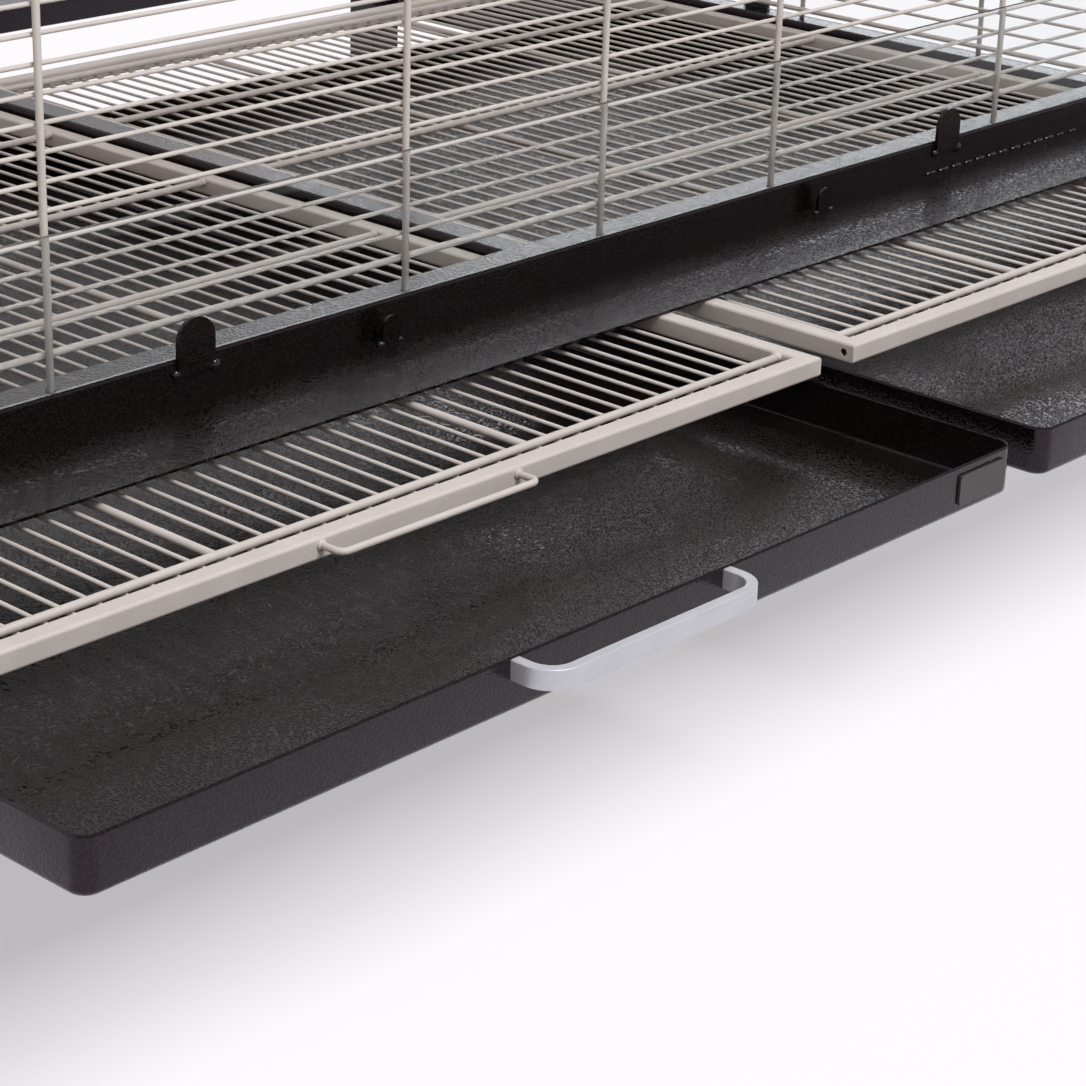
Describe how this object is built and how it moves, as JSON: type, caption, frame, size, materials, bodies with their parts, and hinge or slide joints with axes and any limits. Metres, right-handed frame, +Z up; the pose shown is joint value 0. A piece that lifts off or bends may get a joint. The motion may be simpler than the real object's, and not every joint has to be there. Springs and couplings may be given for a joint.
{
  "type": "bird aviary",
  "caption": "Indoor bird aviary on legs with wire walls, front doors, clear splash panes, and litter trays under wire grates that slide out at the front.",
  "frame": {"origin": "on the floor, under the middle of the whole object with its trays drawn out as pictured", "axes": "+Z up, -Y to the front where the trays and doors open, +X to the right seen from the front"},
  "size_m": [1.172, 1.017, 1.6],
  "materials": {
    "dark_hammered_paint": "glossy with a fine hammered surface",
    "beige_powder_coat": "satin",
    "satin_aluminium": "satin",
    "plain_steel": "plated",
    "clear_acrylic": "clear",
    "black_plastic": "matte",
    "beech": "bare"
  },
  "bodies": {
    "base": {"front_rail": "dark_hammered_paint", "front_ledge": "dark_hammered_paint", "center_rail": "dark_hammered_paint", "back_rail": "dark_hammered_paint", "front_cross_tube": "dark_hammered_paint", "tray_runners": "dark_hammered_paint", "grate_runners": "dark_hammered_paint", "pane_clips": "dark_hammered_paint", "ledge_stops": "dark_hammered_paint", "legs": "dark_hammered_paint", "corner_posts": "dark_hammered_paint", "top_frame": "dark_hammered_paint", "mid_rail": "dark_hammered_paint", "door_stiles": "dark_hammered_paint", "hinge_pins": "dark_hammered_paint", "bolt_keepers": "dark_hammered_paint", "side_rail_left": "dark_hammered_paint", "side_rail_right": "dark_hammered_paint", "front_wire_panel": "beige_powder_coat", "rear_wire_panel": "beige_powder_coat", "roof_wire_panel": "beige_powder_coat", "front_field_left": "beige_powder_coat", "front_field_right": "beige_powder_coat", "side_wire_panel_left": "beige_powder_coat", "side_wire_panel_right": "beige_powder_coat", "levelling_feet": "black_plastic", "end_plugs": "black_plastic", "perches": "beech"},
    "tray_left": {"tray_left": "dark_hammered_paint", "tray_handle_left": "satin_aluminium", "tray_screws_left": "plain_steel", "tray_plate_left": "dark_hammered_paint"},
    "grate_left": {"grate_frame_left": "beige_powder_coat", "grate_wires_left": "beige_powder_coat", "grate_pull_left": "beige_powder_coat"},
    "door_left": {"door_frame_left": "dark_hammered_paint", "door_wires_left": "beige_powder_coat", "hinge_barrels_left": "dark_hammered_paint", "bolt_guides_left": "dark_hammered_paint"},
    "bolt_left": {"door_bolt_left": "plain_steel"},
    "side_pane_left": {"side_pane_left": "clear_acrylic"},
    "tray_right": {"tray_right": "dark_hammered_paint", "tray_handle_right": "satin_aluminium", "tray_screws_right": "plain_steel"},
    "grate_right": {"grate_frame_right": "beige_powder_coat", "grate_wires_right": "beige_powder_coat", "grate_pull_right": "beige_powder_coat"},
    "door_right": {"door_frame_right": "dark_hammered_paint", "door_wires_right": "beige_powder_coat", "hinge_barrels_right": "dark_hammered_paint", "bolt_guides_right": "dark_hammered_paint"},
    "bolt_right": {"door_bolt_right": "plain_steel"},
    "side_pane_right": {"side_pane_right": "clear_acrylic"},
    "front_pane": {"front_pane": "clear_acrylic"}
  },
  "joints": [
    {"name": "left_tray_slide", "type": "slide", "parent": "base", "child": "tray_left", "axis": [0, -1, 0], "range_m": [-0.207, 0.33]},
    {"name": "left_grate_slide", "type": "slide", "parent": "base", "child": "grate_left", "axis": [0, -1, 0], "range_m": [-0.152, 0.3]},
    {"name": "left_door_hinge", "type": "hinge", "parent": "base", "child": "door_left", "pos_m": [-0.347, -0.226, 1.0935], "axis": [0, 0, -1], "range_deg": [0, 165]},
    {"name": "left_bolt_slide", "type": "slide", "parent": "door_left", "child": "bolt_left", "axis": [0, 0, -1], "range_m": [0, 0.012]},
    {"name": "left_side_pane_lift", "type": "slide", "parent": "base", "child": "side_pane_left", "axis": [0, 0, 1], "range_m": [0, 0.08]},
    {"name": "right_tray_slide", "type": "slide", "parent": "base", "child": "tray_right", "axis": [0, -1, 0], "range_m": [-0.207, 0.33]},
    {"name": "right_grate_slide", "type": "slide", "parent": "base", "child": "grate_right", "axis": [0, -1, 0], "range_m": [-0.152, 0.3]},
    {"name": "right_door_hinge", "type": "hinge", "parent": "base", "child": "door_right", "pos_m": [0.347, -0.226, 1.0935], "axis": [0, 0, 1], "range_deg": [0, 165]},
    {"name": "right_bolt_slide", "type": "slide", "parent": "door_right", "child": "bolt_right", "axis": [0, 0, -1], "range_m": [0, 0.012]},
    {"name": "right_side_pane_lift", "type": "slide", "parent": "base", "child": "side_pane_right", "axis": [0, 0, 1], "range_m": [0, 0.08]},
    {"name": "front_pane_lift", "type": "slide", "parent": "base", "child": "front_pane", "axis": [0, 0, 1], "range_m": [0, 0.08]}
  ]
}
